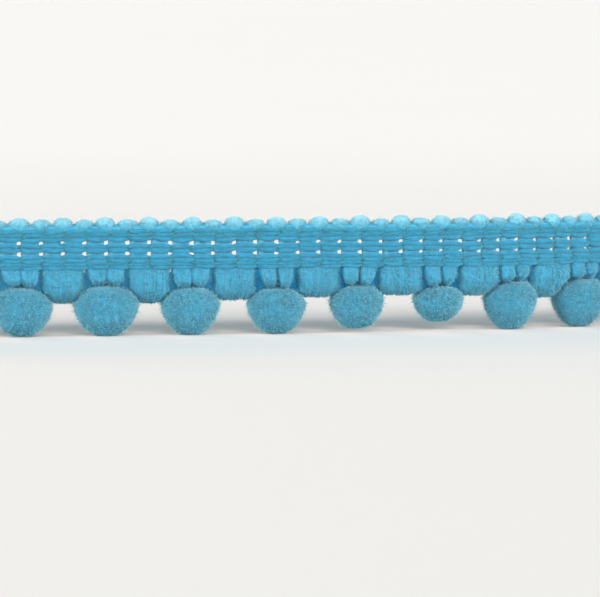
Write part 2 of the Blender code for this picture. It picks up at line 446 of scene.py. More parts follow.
def strand_faces(group, firsts, numbers, cells):
    """Corners, sizes and map places of the faces: the walls, the caps at the foot and the far ends.
    firsts are the strands' first points, and numbers their cells on the map."""
    count, steps, sides = group.rings.shape[:3]
    last = steps - 1 if group.pointed else steps
    around = np.arange(sides)
    after = (around + 1) % sides

    ring, side = np.meshgrid(np.arange(last - 1), around, indexing="ij")
    near, far = ring * sides, (ring + 1) * sides
    quads = np.stack([near + side, near + after[side], far + after[side], far + side], -1).reshape(-1, 4)
    start, stop = group.share[:, ring.ravel()], group.share[:, ring.ravel() + 1]
    u = np.stack([start, start, stop, stop], -1)
    turn = side.ravel() / sides
    v = np.broadcast_to(np.stack([turn, turn + 1 / sides, turn + 1 / sides, turn], -1), u.shape)
    corners = (firsts[:, None, None] + quads).reshape(-1)
    walls = (corners, np.full(count * len(quads), 4), on_map(cells, numbers, u, v))

    circle = 2 * np.pi * around / sides
    cap_u = np.broadcast_to(CAP_WIDE * (1 + np.cos(circle)), (count, sides))
    cap_v = np.broadcast_to(0.5 + CAP_HIGH * np.sin(circle), (count, sides))
    corners = (firsts[:, None] + around[::-1]).reshape(-1)
    foot = (corners, np.full(count, sides), on_map(cells, numbers, cap_u, cap_v))

    rim = (last - 1) * sides
    if not group.pointed:
        corners = (firsts[:, None] + rim + around).reshape(-1)
        return [walls, foot, (corners, np.full(count, sides), on_map(cells, numbers, 1 - cap_u, cap_v))]
    fan = np.stack([rim + around, rim + after, np.full(sides, last * sides)], -1)
    stop = np.broadcast_to(group.share[:, last - 1][:, None], (count, sides))
    u = np.stack([stop, stop, np.ones_like(stop)], -1)
    turn = around / sides
    v = np.broadcast_to(np.stack([turn, turn + 1 / sides, turn + 0.5 / sides], -1), u.shape)
    corners = (firsts[:, None, None] + fan).reshape(-1)
    return [walls, foot, (corners, np.full(count * sides, 3), on_map(cells, numbers, u, v))]


def mesh_object(name, points, corners, sizes, places, yarns, tones, material):
    """An object from its points, its faces' corners and sizes, and what its points and corners hold."""
    mesh = bpy.data.meshes.new(name)
    mesh.vertices.add(len(points))
    mesh.vertices.foreach_set("co", points.astype(np.float32).ravel())
    mesh.loops.add(len(corners))
    mesh.loops.foreach_set("vertex_index", corners.astype(np.int32))
    mesh.polygons.add(len(sizes))
    starts = np.concatenate([[0], np.cumsum(sizes)[:-1]])
    mesh.polygons.foreach_set("loop_start", starts.astype(np.int32))
    mesh.update(calc_edges=True)
    uv = mesh.uv_layers.new(name="OFBake")
    uv.data.foreach_set("uv", places.astype(np.float32).ravel())
    yarn = mesh.attributes.new("yarn", "FLOAT_VECTOR", "POINT")
    yarn.data.foreach_set("vector", yarns.astype(np.float32).ravel())
    tone = mesh.attributes.new("tone", "FLOAT", "POINT")
    tone.data.foreach_set("value", tones.astype(np.float32))
    mesh.shade_smooth()
    mesh.materials.append(material)
    piece = bpy.data.objects.new(name, mesh)
    bpy.context.scene.collection.objects.link(piece)
    return piece


# ---- Materials ----


def add_node(tree, kind, **settings):
    """A node with its properties and, for names that are inputs, its socket values."""
    made = tree.nodes.new(kind)
    for key, value in settings.items():
        if key in made.inputs:
            made.inputs[key].default_value = value
        else:
            setattr(made, key, value)
    return made


# A yarn's colour at its surface and deep inside the trim, where the darker deep colour is painted
# shade, how far mottling spreads it and how fine the mottling is, its roughness, sheen and inner
# glow, and how fine its fibres are and how far they stand out.
Finish = namedtuple("Finish", "surface deep spread mottle roughness sheen glow grain bump")
FIBRE_LENGTHWISE = 900.0  # how fine the fibres' pattern is along the yarn
NOISE_LOW = 0.7  # what two noises added together mostly stay between
NOISE_HIGH = 1.3


def yarn_material(name, finish):
    """Soft dyed yarn: colour from how deep a point lies, as painted shade, and from mottling, and fine
    fibres as bump.
    """
    material = bpy.data.materials.new(name)
    material.use_nodes = True
    tree = material.node_tree
    link = tree.links.new
    shader = tree.nodes["Principled BSDF"]

    yarn = add_node(tree, "ShaderNodeAttribute", attribute_name="yarn")
    tone = add_node(tree, "ShaderNodeAttribute", attribute_name="tone")
    body = add_node(tree, "ShaderNodeTexCoord")

    # The tone attribute mixes in the deep colour: painted shade where the yarn lies deep in the trim.
    depth = add_node(tree, "ShaderNodeMix", data_type="RGBA")
    depth.inputs["A"].default_value = finish.deep
    depth.inputs["B"].default_value = finish.surface
    link(tone.outputs["Fac"], depth.inputs["Factor"])

    mottle = add_node(tree, "ShaderNodeTexNoise", Scale=finish.mottle, Detail=3.0, Roughness=0.6)
    link(body.outputs["Object"], mottle.inputs["Vector"])
    along = add_node(tree, "ShaderNodeMapping")
    along.inputs["Scale"].default_value = (FIBRE_LENGTHWISE, finish.grain, finish.grain)
    link(yarn.outputs["Vector"], along.inputs["Vector"])
    fibre = add_node(tree, "ShaderNodeTexNoise", Scale=1.0, Detail=2.0, Roughness=0.55)
    link(along.outputs["Vector"], fibre.inputs["Vector"])

    both = add_node(tree, "ShaderNodeMath", operation="ADD")
    link(mottle.outputs["Fac"], both.inputs[0])
    link(fibre.outputs["Fac"], both.inputs[1])
    value = add_node(tree, "ShaderNodeMapRange")
    value.inputs["From Min"].default_value = NOISE_LOW
    value.inputs["From Max"].default_value = NOISE_HIGH
    value.inputs["To Min"].default_value = 1 - finish.spread
    value.inputs["To Max"].default_value = 1 + finish.spread
    link(both.outputs["Value"], value.inputs["Value"])
    shade = add_node(tree, "ShaderNodeHueSaturation")
    link(depth.outputs["Result"], shade.inputs["Color"])
    link(value.outputs["Result"], shade.inputs["Value"])
    link(shade.outputs["Color"], shader.inputs["Base Color"])

    rough = add_node(tree, "ShaderNodeMapRange")
    rough.inputs["To Min"].default_value = finish.roughness - 0.08
    rough.inputs["To Max"].default_value = min(1.0, finish.roughness + 0.08)
    link(fibre.outputs["Fac"], rough.inputs["Value"])
    link(rough.outputs["Result"], shader.inputs["Roughness"])

    bump = add_node(tree, "ShaderNodeBump", Strength=finish.bump, Distance=0.05 * MM)
    link(fibre.outputs["Fac"], bump.inputs["Height"])
    link(bump.outputs["Normal"], shader.inputs["Normal"])

    shader.inputs["Specular IOR Level"].default_value = 0.15
    shader.inputs["Sheen Weight"].default_value = finish.sheen
    shader.inputs["Sheen Roughness"].default_value = 0.45
    shader.inputs["Sheen Tint"].default_value = (0.60, 0.90, 1.0, 1.0)
    shader.inputs["Subsurface Weight"].default_value = finish.glow
    shader.inputs["Subsurface Radius"].default_value = (0.25, 0.75, 1.0)
    shader.inputs["Subsurface Scale"].default_value = 0.8 * MM
    return material


def paper_material():
    """The pale surface under the trim, with a trace of unevenness."""
    material = bpy.data.materials.new("pale_paper")
    material.use_nodes = True
    tree = material.node_tree
    shader = tree.nodes["Principled BSDF"]
    body = add_node(tree, "ShaderNodeTexCoord")
    cloud = add_node(tree, "ShaderNodeTexNoise", Scale=9.0, Detail=2.0)
    tree.links.new(body.outputs["Object"], cloud.inputs["Vector"])
    tint = add_node(tree, "ShaderNodeMix", data_type="RGBA")
    tint.inputs["A"].default_value = (0.885, 0.815, 0.785, 1.0)
    tint.inputs["B"].default_value = (0.895, 0.825, 0.795, 1.0)
    tree.links.new(cloud.outputs["Fac"], tint.inputs["Factor"])
    tree.links.new(tint.outputs["Result"], shader.inputs["Base Color"])
    shader.inputs["Roughness"].default_value = 0.85
    shader.inputs["Specular IOR Level"].default_value = 0.2
    return material


HEADING_FINISH = Finish(
    surface=(0.025, 0.217, 0.342, 1.0),
    deep=(0.009, 0.128, 0.243, 1.0),
    spread=0.20,
    mottle=1100.0,
    roughness=0.85,
    sheen=0.3,
    glow=0.9,
    grain=16000.0,
    bump=0.8,
)
# The loop yarn is paler than the other yarns: painted light for the lit, translucent loops along the top
# edge.
LOOP_PAINTED_LIGHT_FINISH = Finish(
    surface=(0.285, 0.562, 0.652, 1.0),
    deep=(0.010, 0.230, 0.385, 1.0),
    spread=0.18,
    mottle=2200.0,
    roughness=0.88,
    sheen=0.35,
    glow=0.45,
    grain=16000.0,
    bump=0.4,
)
PILE_FINISH = Finish(
    surface=(0.053, 0.276, 0.405, 1.0),
    deep=(0.007, 0.153, 0.31, 1.0),
    spread=0.20,
    mottle=2200.0,
    roughness=0.88,
    sheen=0.4,
    glow=0.45,
    grain=16000.0,
    bump=0.4,
)
BALL_FINISH = Finish(
    surface=(0.074, 0.330, 0.465, 1.0),
    deep=(0.005, 0.100, 0.195, 1.0),
    spread=0.42,
    mottle=1800.0,
    roughness=0.9,
    sheen=0.5,
    glow=0.45,
    grain=12000.0,
    bump=0.4,
)


# ---- Heading ----


def chain_line():
    """The middle of one chain stitch's yarn: up one leg, round its head and back along the other.
    x is counted back from the stitch's base."""
    leg = [(-p.run * MM, p.behind * MM, p.apart * MM) for p in CHAIN_LEG]
    back = [(x, y, -z) for x, y, z in reversed(leg[:-1])]
    radius = [p.radius * MM for p in CHAIN_LEG]
    line = smooth_through(leg + back, CHAIN_POINTS)
    thick = smooth_through([(r, 0, 0) for r in radius + radius[-2::-1]], CHAIN_POINTS)[:, 0]
    return line, thick


def underlap_line(row, rng):
    """The chain yarn's floats on the back, from stitch to stitch over the crossing yarns."""
    count = STITCHES * UNDERLAP_POINTS_PER_STITCH + 1
    at = np.linspace(0, STITCHES, count)
    behind = UNDERLAP_MIDDLE + UNDERLAP_SWING * np.cos(2 * np.pi * (at - 0.5))
    knots = rng.normal(0, UNDERLAP_WANDER, STITCHES + 1)
    height = row.height + np.interp(at, np.arange(STITCHES + 1), knots)
    return np.stack([at * STITCH, behind, height], -1)[None]


def chain_painted_shade(behind):
    """Painted shade: darker where a stitch's yarn dips back into the heading."""
    return CHAIN_TONE * np.clip(1 + (CHAIN_FACE - behind) / CHAIN_FADE, 0.3, 1.0)


def build_chain_row(number, row, material):
    """One row of chain stitches on the front, its floats on the back, and its loose hairs."""
    rng = dice(number)
    line, thick = chain_line()
    bases = (np.arange(STITCHES) + 1) * STITCH + row.shift
    lines = np.repeat(line[None], STITCHES, 0)
    lines[:, :, 0] += CHAIN_SLANT * lines[:, :, 2]
    each = (STITCHES, 1)
    lines[:, :, 2] *= row.spread * (1 + rng.normal(0, UNEVEN_SPREAD, each))
    lines[:, :, 1] += row.behind + rng.normal(0, UNEVEN_PLACE, each)
    lean = rng.normal(0, UNEVEN_LEAN, each)
    lines[:, :, 2] += row.height + rng.normal(0, UNEVEN_PLACE, each) + lean * lines[:, :, 0]
    lines[:, :, 0] += bases[:, None] + rng.normal(0, UNEVEN_STEP, each)
    thick = thick * (1 + rng.normal(0, UNEVEN_THICKNESS, each))
    strands = Strands()
    strands.add(lines, thick, CHAIN_SIDES, tone=chain_painted_shade(lines[:, :, 1]), turns=YARN_TURNS)
    strands.add(underlap_line(row, rng), UNDERLAP_RADIUS, 6, tone=0.9, turns=YARN_TURNS)
    strands.add(row_hairs(lines, thick, rng), ROW_HAIR, 3, tone=1.0, pointed=True)
    return strands.build(f"chain_row_{number + 1}", material)


def row_hairs(lines, thick, rng):
    """Fine fibres that have worked loose and lie over the stitches."""
    pick = rng.integers(0, len(lines), ROW_HAIRS)
    at = rng.integers(3, CHAIN_POINTS - 4, ROW_HAIRS)
    root = lines[pick, at]
    up = rng.normal(0, 0.6, ROW_HAIRS)
    out = np.stack([0 * up, -np.cos(up), np.sin(up)], -1)
    start = root + out * (thick[pick, at] * 0.92)[:, None]
    way = rng.choice((-1, 1), ROW_HAIRS) * rng.uniform(0.15, 0.55, ROW_HAIRS)
    forwards = rng.normal(-0.08, 0.06, ROW_HAIRS)
    drift = np.stack([way, forwards, rng.normal(0, 0.14, ROW_HAIRS)], -1) * MM
    return np.stack([start, start + drift], 1)


def bundle(column, sign, rng):
    """One crossing yarn beside a column: the rings of its body, and fine fibres around it."""
    rise = np.linspace(0, 1, 9)
    path = np.stack([
        column * STITCH + sign * WEFT_LEG + 0 * rise,
        WEFT_BEHIND + WEFT_WAVER * np.sin(9 * rise),
        WEFT_FOOT + (LOOP_WAIST - WEFT_FOOT) * rise,
    ], -1)
    turn = 2 * np.pi * np.arange(10) / 10
    ring = np.stack([WEFT_WIDE * np.cos(turn), WEFT_DEEP * np.sin(turn), 0 * turn], -1)
    spin = 2 * np.pi * (np.arange(WEFT_FIBRES) + rng.uniform(-0.4, 0.4, WEFT_FIBRES)) / WEFT_FIBRES
    spin = spin[:, None] + rng.normal(0, 0.5, (WEFT_FIBRES, 1)) * rise
    fibres = path + np.stack([WEFT_WIDE * np.cos(spin), WEFT_DEEP * np.sin(spin), 0 * spin], -1)
    return path[:, None] + ring, fibres


def edge_loop(column, rng):
    """The soft loop of crossing yarn over a column: the rings of its body, and spots for its fuzz."""
    tall = column % 2 == 0
    wide = (TALL_LOOP_HALF if tall else SHORT_LOOP_HALF) + rng.normal(0, 0.04 * MM)
    top = (TALL_LOOP_TOP if tall else SHORT_LOOP_TOP) + 0.02 * MM + rng.normal(0, 0.06 * MM)
    tilt = rng.normal(0, 0.07)
    rise = top - LOOP_WAIST

    def surface(share, turn):
        """Points around the loop at a share of its height, from LOOP_FOOT_SHARE to 1 at its top."""
        above = np.clip(share, 0, 1)
        round_top = np.sqrt(np.clip(1 - above**LOOP_SQUARE, 0, 1))
        deep = LOOP_DEEP * (0.35 + 0.65 * np.clip(1 + share / 1.2, 0, 1)) * round_top
        x = wide * round_top * np.cos(turn) * (1 + 0.12 * np.clip(-share, 0, 1))
        drop = (LOOP_FOOT - LOOP_WAIST) / LOOP_FOOT_SHARE
        height = LOOP_WAIST + np.where(share > 0, rise, drop) * share
        return np.stack([
            column * STITCH + x + tilt * rise * above,
            0.04 * MM - (0.10 if tall else 0.04) * MM + deep * np.sin(turn),
            height + 0 * x,
        ], -1)

    body = surface(np.array(LOOP_RINGS)[:, None], 2 * np.pi * np.arange(14) / 14)
    middle = body.mean(1, keepdims=True)
    body = middle + (body - middle) * LOOP_BODY
    spots = surface(rng.uniform(-0.38, 0.98, LOOP_TUFTS), rng.uniform(0, 2 * np.pi, LOOP_TUFTS))
    return body, spots


def build_wefts(material):
    """The crossing yarns beside each column, and the loops they make along the top edge."""
    rng = dice(20)
    strands = Strands()
    bundles, straight, bodies, spots = [], [], [], []
    for column in range(1, STITCHES):
        for sign in (-1, 1):
            body, fibres = bundle(column, sign, rng)
            bundles.append(body)
            straight.append(fibres)
        body, roots = edge_loop(column, rng)
        bodies.append(body)
        spots.append(roots)
    bodies = np.array(bodies)
    strands.add_rings(np.array(bundles), tone=WEFT_PAINTED_SHADE)
    strands.add(np.concatenate(straight), WEFT_FIBRE, 3, tone=WEFT_FIBRE_PAINTED_SHADE)
    strands.add_rings(bodies, tone=loop_painted_light(bodies.mean(2)[:, :, 2]))
    strands.add_rings(loop_ridge(), tone=RIDGE_PAINTED_SHADE)
    add_loop_fuzz(strands, np.array(spots), rng)
    return strands.build("crossing_yarns", material)


def loop_ridge():
    """The yarn that closes the gaps between neighbouring loops, as one row of rings."""
    along = np.linspace(RIDGE_END * STITCH, (STITCHES - RIDGE_END) * STITCH, 4 * STITCHES)[:, None]
    turn = 2 * np.pi * np.arange(12) / 12
    return np.stack([
        along + 0 * turn,
        RIDGE_DEEP * np.cos(turn) + 0 * along,
        RIDGE_HEIGHT + RIDGE_HALF * np.sin(turn) + 0 * along,
    ], -1)[None]


def loop_painted_light(height):
    """Painted light and shade: the edge loops are paler towards their tops and darker at their feet."""
    return 0.13 + 0.63 * np.clip((height - LOOP_PAINTED_LIGHT_FROM) / LOOP_PAINTED_LIGHT_OVER, 0, 1)


def add_loop_fuzz(strands, spots, rng):
    """Tufts all over the loops along the top edge, and finer loose hairs."""
    lumps, grains = waves(rng, 1.1 * MM), waves(rng, 0.45 * MM, 40)
    middle = spots.mean(1, keepdims=True) - (0, 0, 0.5 * MM)
    away = unit((spots - middle) * (0.7, 1.2, 1.0)).reshape(-1, 3)
    roots = spots.reshape(-1, 3)
    roots = roots + away * (0.05 * lumps(roots) + 0.04 * grains(roots))[:, None] * MM
    drift = unit(rng.normal(size=roots.shape))
    length = rng.uniform(0.06, 0.26, (len(roots), 1)) * MM
    far = roots + unit(0.3 * away + combed(drift, away, 0.6)) * length
    varied = 1 + 0.16 * grains(roots) + rng.normal(0, 0.2, len(roots))
    shade = loop_painted_light(roots[:, 2]) * np.clip(varied, 0.4, 1.5)
    # Painted shade: each tuft is darker at its root than at its tip.
    tone = shade[:, None] * np.array([0.6, 1.1])
    start = roots - 0.16 * MM * away
    strands.add(np.stack([start, far], 1), LOOP_TUFT, 3, tone=tone, pointed=True)
    pick = rng.choice(len(roots), LOOP_HAIRS, replace=False)
    length = rng.uniform(0.25, 0.8, (LOOP_HAIRS, 1)) * MM
    far = roots[pick] + unit(away[pick] + 0.8 * drift[pick]) * length
    bow = (roots[pick] + far) / 2 + 0.2 * drift[pick, ::-1] * length
    hairs = np.stack([roots[pick], bow, far], 1)
    strands.add(hairs, LOOP_HAIR, 3, tone=1.0, pointed=True)


# ---- Pile loops ----


def over_pompom(along, number):
    """Height of a pompom's top at places along the straight trim, or 0 beside it."""
    pompom = POMPOMS[number]
    reach = pompom.width * MM / 2
    off = np.clip(np.abs(along - hang_place(number)) / reach, 0, 1)
    height = waist_height(pompom) + crown_height(pompom) * np.sqrt(1 - off * off)
    return np.where(off < 1, height, 0.0)


def side_of(number, heights, sign):
    """Just inside a pompom's side at these heights: its right side with sign 1, its left with -1."""
    pompom = POMPOMS[number]
    reach = pompom.width * MM / 2 - 0.25 * MM
    crown = crown_height(pompom) + 0.1 * MM
    up = np.clip((heights - waist_height(pompom)) / crown, 0, 1)
    return hang_place(number) + sign * reach * np.sqrt(1 - up * up)


def loop_depth(share, height, bulge):
    """How far a loop stands out at a share of its height, rounded below and drawn in above."""
    under = np.clip(share / 0.33, 0, 1)
    tuck = np.clip((height - PILE_TUCK[0]) / (PILE_TUCK[1] - PILE_TUCK[0]), 0, 1)
    drawn_in = (1 - PILE_NECK / bulge) * tuck * tuck * (3 - 2 * tuck)
    return bulge * np.sqrt(under * (2 - under)) * (1 - drawn_in)


def hanging(outline, bulge, count, rng, seam=None):
    """Fibres of a pile loop, down its front, round underneath and up its back."""
    left, right, low = outline
    t = np.linspace(-1, 1, PILE_POINTS)
    share = np.abs(t) ** 1.4
    even = np.linspace(-1, 1, count)[:, None]
    angle = np.pi / 2 + (np.pi / 2 - 0.06) * even * (0.55 + 0.45 * even * even)
    angle = angle + rng.normal(0, 0.03, (count, 1))
    angle = np.clip(angle, 0.03, np.pi - 0.03)
    place = 0.5 - 0.5 * np.cos(angle)
    low = low + 0.15 * MM * np.abs(2 * place - 1) ** 3 + rng.normal(0, FIBRE_WANDER, (count, 1))
    height = low + (PILE_TOP - low) * share
    edge_l, edge_r = left(height), right(height)
    x = (edge_l + edge_r) / 2 + (2 * place - 1) * (edge_r - edge_l) / 2
    sway = rng.normal(0, FIBRE_SWAY, (count, 1)) * np.sin(3 * t + rng.uniform(0, 6, (count, 1)))
    x = x + (rng.normal(0, FIBRE_WANDER, (count, 1)) + sway) * (1 - share)
    deep = loop_depth(share, height, bulge)
    if seam is not None:
        deep = deep * (1 - SEAM_DEPTH * np.exp(-(((x - seam) / SEAM_WIDTH) ** 2)))
    y = np.sign(t) * deep * np.sin(angle) ** PILE_ROUND + rng.normal(0, FIBRE_WANDER, (count, 1))
    return np.stack([x, y, height], -1)


def loop_body(outline, bulge, seam=None):
    """The dense inside of a pile loop, as one row of rings, just under its fibres."""
    left, right, low = outline
    share = (np.linspace(0.12, 1, 11) ** 1.3)[:, None]
    turn = 2 * np.pi * np.arange(18) / 18
    height = low + BODY_LIFT + (PILE_TOP - low - BODY_LIFT) * share
    edge_l, edge_r = left(height), right(height)
    half = np.maximum((edge_r - edge_l) / 2 - BODY_INSET, 0.05 * MM)
    x = (edge_l + edge_r) / 2 + half * np.cos(turn)
    deep = np.maximum(loop_depth(share, height, bulge) - BODY_COVER, 0.1 * MM)
    if seam is not None:
        deep = deep * (1 - SEAM_DEPTH * np.exp(-(((x - seam) / (1.7 * SEAM_WIDTH)) ** 2)))
    y = deep * np.sign(np.sin(turn)) * np.abs(np.sin(turn)) ** PILE_ROUND
    return np.stack([x, y, height + 0 * x], -1)[None]


def pile_painted_shade(lines):
    """Painted shade: deep and darker where the yarn tucks in under the heading or lies inside the loop."""
    return np.clip((9.0 * MM - lines[:, :, 2]) / (0.7 * MM), 0.15, 1)


def build_pile(material):
    """All the pile loops: the fused pairs between the pompoms, the petals, and the web behind them."""
    rng = dice(30)
    strands = Strands()
    fibres, bodies, tufts = [], [], []
    for column in range(0, STITCHES + 1, STITCHES_PER_POMPOM):
        number = column // STITCHES_PER_POMPOM
        whole = 0 < number < len(POMPOMS)
        parts = 1 if whole else 2
        outline = pair_outline(number, column * STITCH)
        seam = column * STITCH if whole else None
        fibres.append(hanging(outline, PILE_BULGE, PAIR_FIBRES // parts, rng, seam))
        bodies.append(loop_body(outline, PILE_BULGE, seam))
        tufts.append(pile_tufts(outline, PILE_BULGE, PAIR_TUFTS // parts, rng, seam))
    for number in range(len(POMPOMS)):
        for sign in (-1, 1):
            outline = petal_outline(number, sign, rng)
            fibres.append(hanging(outline, PETAL_BULGE, PETAL_FIBRES, rng))
            bodies.append(loop_body(outline, PETAL_BULGE))
            tufts.append(pile_tufts(outline, PETAL_BULGE, PETAL_TUFTS, rng))
    fibres = part_at_peeps(np.concatenate(fibres))
    shades = pile_painted_shade(fibres) * rng.uniform(0.55, 0.72, (len(fibres), 1))
    strands.add(fibres, PILE_FIBRE, 3, tone=shades)
    bodies = part_at_peeps(np.concatenate(bodies))
    strands.add_rings(bodies, tone=BODY_PAINTED_SHADE * pile_painted_shade(bodies.mean(2)))
    for number in range(len(POMPOMS)):
        strands.add_rings(web(number), tone=web_painted_shade(number))
    tufts, shades = (np.concatenate(part) for part in zip(*tufts))
    strands.add(part_at_peeps(tufts), PILE_TUFT, 3, tone=shades, pointed=True)
    add_pile_fuzz(strands, fibres, rng)
    add_web_fuzz(strands, rng)
    return strands.build("pile_loops", material)


def part_at_peeps(points):
    """Moves the pile aside where daylight shows between it and the lowest chain."""
    x = points[..., 0]
    high = np.clip((points[..., 2] - 7.9 * MM) / (0.2 * MM), 0, 1)
    for peep in PEEP_COLUMNS:
        off = x - peep * STITCH - PEEP_SHIFT
        short = np.clip(PEEP_HALF - np.abs(off), 0, PEEP_HALF) * high
        x = x + np.where(off < 0, -short, short)
    return np.concatenate([x[..., None], points[..., 1:]], -1)


def pile_tufts(outline, bulge, count, rng, seam=None):
    """Short tufts standing out all over a pile loop, and their tones, with painted shade under the heading
    and at their roots.
    """
    left, right, low = outline
    lines = hanging(outline, bulge, count // TUFTS_PER_FIBRE, rng, seam)
    pick = rng.integers(0, len(lines), count)
    middle = (PILE_POINTS - 1) / 2
    face = np.where(rng.random(count) < FRONT_TUFTS, -1, 1)
    at = middle + face * rng.uniform(0, middle - 0.6, count)
    i = at.astype(int)
    part = (at - i)[:, None]
    root = lines[pick, i] * (1 - part) + lines[pick, i + 1] * part
    edge_l, edge_r = left(root[:, 2]), right(root[:, 2])
    half = np.maximum(edge_r - edge_l, 0.2 * MM) / 2
    away = unit(np.stack([
        0.7 * (root[:, 0] - (edge_l + edge_r) / 2) / half,
        root[:, 1] / bulge,
        np.clip((root[:, 2] - low) / (1.2 * MM) - 1, -1, 0),
    ], -1))
    drift = rng.normal(0, 1, root.shape) * (0.14 * MM, 0.06 * MM, 0.19 * MM)
    tip = root + away * rng.uniform(0.02, 0.12, (count, 1)) * MM + combed(drift, away, 0.7)
    stripe = np.sin(root[:, 0] / (0.11 * MM) + 2 * np.sin(root[:, 0] / (0.4 * MM)))
    grain = waves(rng, 0.5 * MM, 40)(root)
    shade = np.clip(0.60 + 0.07 * stripe + 0.14 * grain + rng.normal(0, 0.12, count), 0.15, 1)
    shade = shade * pile_painted_shade(root[:, None])[:, 0]
    return np.stack([root - 0.22 * MM * away, tip], 1), shade[:, None] * np.array([0.9, 1.0])


def pair_outline(number, centre):
    """Left and right edges of a fused pair of loops, as functions of height, and its lowest point.
    They follow the pompoms beside it. The first and the last pair are cut through their middle."""
    has_left, has_right = number > 0, number < len(POMPOMS)
    low = (POMPOMS[number - 1].loops_low if has_left else FIRST_LOOPS_LOW) * MM

    def beside(z, neighbour, sign):
        """The pompom's side, but no farther from the middle than one stitch, or than it reaches."""
        limit = centre - sign * STITCH
        shoulder = hang_place(neighbour) + sign * 0.38 * POMPOMS[neighbour].width * MM
        spill = np.clip((8.3 * MM - z) / MM, 0, 1) * max(0.0, sign * (limit - shoulder))
        return sign * np.maximum(sign * side_of(neighbour, z, sign), sign * limit - spill)

    def left(z):
        return beside(z, number - 1, 1) if has_left else np.full_like(z, centre + 0.03 * STITCH)

    def right(z):
        return beside(z, number, -1) if has_right else np.full_like(z, centre - 0.03 * STITCH)

    return left, right, low


def petal_outline(number, sign, rng):
    """Edges and lowest point of one of the two small loops over a pompom."""
    pompom = POMPOMS[number]
    low = (pompom.lift + pompom.height - 0.3) * MM + rng.normal(0, 0.1 * MM)
    start = pompom_column(number) + sign * PETAL_APART
    tip = hang_place(number) + sign * PETAL_TIPS_APART
    plump = FULL_PETAL if number < FULL_POMPOMS else SLIM_PETAL

    def edge(z, way):
        up = np.clip((z - low) / (PILE_TOP - low), 0, 1)
        half = plump * (0.25 * MM + 0.65 * MM * np.sqrt(np.clip(3 * up, 0, 1)) + 0.25 * MM * up)
        return tip + (start - tip) * up + way * half

    def left(z):
        return edge(z, -1)

    def right(z):
        return edge(z, 1)

    return left, right, low


def web(number):
    """The inner pile yarns that close the gaps over a pompom, as one row of rings."""
    column = pompom_column(number)
    along = np.linspace(column - WEB_REACH, column + WEB_REACH, 48)
    waist = waist_height(POMPOMS[number])
    top = over_pompom(along, number)
    low = np.where(top > 0, np.maximum(top - 0.8 * MM, waist + 0.2 * MM), WEB_FOOT)
    high = np.full_like(along, WEB_TOP)
    for peep in PEEP_COLUMNS:
        off = np.abs(along - peep * STITCH - PEEP_SHIFT)
        high = np.where(off < WEB_PEEP_HALF, WEB_PEEP_TOP, high)
    turn = 2 * np.pi * (np.arange(8) + 0.5) / 8
    middle, half = (low + high)[:, None] / 2, (high - low)[:, None] / 2
    z = middle + half * np.clip(1.3 * np.sin(turn), -1, 1)
    y = WEB_MIDDLE + WEB_HALF * np.clip(1.3 * np.cos(turn), -1, 1) + 0 * z
    return np.stack([along[:, None] + 0 * z, y, z], -1)[None]


def web_painted_shade(number):
    """Painted shade for the gaps over a pompom, which lie deep, but lighter where the fuller petals at the
    left nearly fill theirs.
    """
    return 0.32 if number < FULL_POMPOMS else 0.03


def add_web_fuzz(strands, rng):
    """Loose fibres that cross the gaps over the pompoms, on both faces."""
    for number in range(len(POMPOMS)):
        along = pompom_column(number) + rng.uniform(-1.1, 1.1, WEB_HAIRS) * STITCH
        side = np.where(rng.random(WEB_HAIRS) < 0.5, -1, 1)
        low = np.maximum(over_pompom(along, number), 6.2 * MM) - 0.2 * MM
        root = np.stack([along, WEB_MIDDLE + 0.7 * side * WEB_HALF, rng.uniform(low, 8.6 * MM)], -1)
        root[:, 2] = np.where(side < 0, np.minimum(root[:, 2], 8.0 * MM), root[:, 2])
        drift = rng.normal(0, 0.35 * MM, root.shape)
        drift[:, 1] = side * rng.uniform(0.15, 0.75, WEB_HAIRS) * MM
        # The hairs' roots take the web's painted shade.
        tone = np.stack([np.full(WEB_HAIRS, web_painted_shade(number)), rng.uniform(0.1, 0.6, WEB_HAIRS)], 1)
        hairs = part_at_peeps(np.stack([root, root + drift], 1))
        strands.add(hairs, WEB_HAIR, 3, tone=tone, pointed=True)


def add_pile_fuzz(strands, lines, rng):
    """Fine loose hairs over the pile loops."""
    pick = rng.integers(0, len(lines), PILE_HAIRS)
    at = rng.integers(1, lines.shape[1] - 1, PILE_HAIRS)
    root = lines[pick, at]
    away = unit(np.stack([0 * root[:, 0], root[:, 1], -0.3 * np.abs(root[:, 1])], -1))
    drift = unit(rng.normal(size=root.shape))
    length = rng.uniform(0.12, 0.42, (PILE_HAIRS, 1)) * MM
    far = root + unit(0.6 * away + 0.8 * drift) * length
    # Painted shade under the heading, and darker at the roots.
    tone = pile_painted_shade(root[:, None]) * np.array([0.7, 1.0])
    strands.add(np.stack([root, far], 1), PILE_HAIR, 3, tone=tone, pointed=True)


# ---- Pompoms ----


def waves(rng, length, count=14):
    """A smooth random function of place with features of about this length, from -1 to 1."""
    turn = unit(rng.normal(size=(count, 3))) * 2 * np.pi / length * rng.uniform(0.7, 1.4, (count, 1))
    phase = rng.uniform(0, 2 * np.pi, count)

    def height(places):
        return np.sin(places @ turn.T + phase).sum(-1) / math.sqrt(count) * 0.8

    return height


def even_directions(count, rng):
    """Directions spread evenly over the sphere, a little out of step."""
    i = np.arange(count) + 0.5
    z = 1 - 2 * i / count
    turn = np.pi * (1 + 5**0.5) * i
    flat = np.sqrt(1 - z * z)
    even = np.stack([flat * np.cos(turn), flat * np.sin(turn), z], -1)
    return unit(even + rng.normal(0, 1.1 / math.sqrt(count), even.shape))


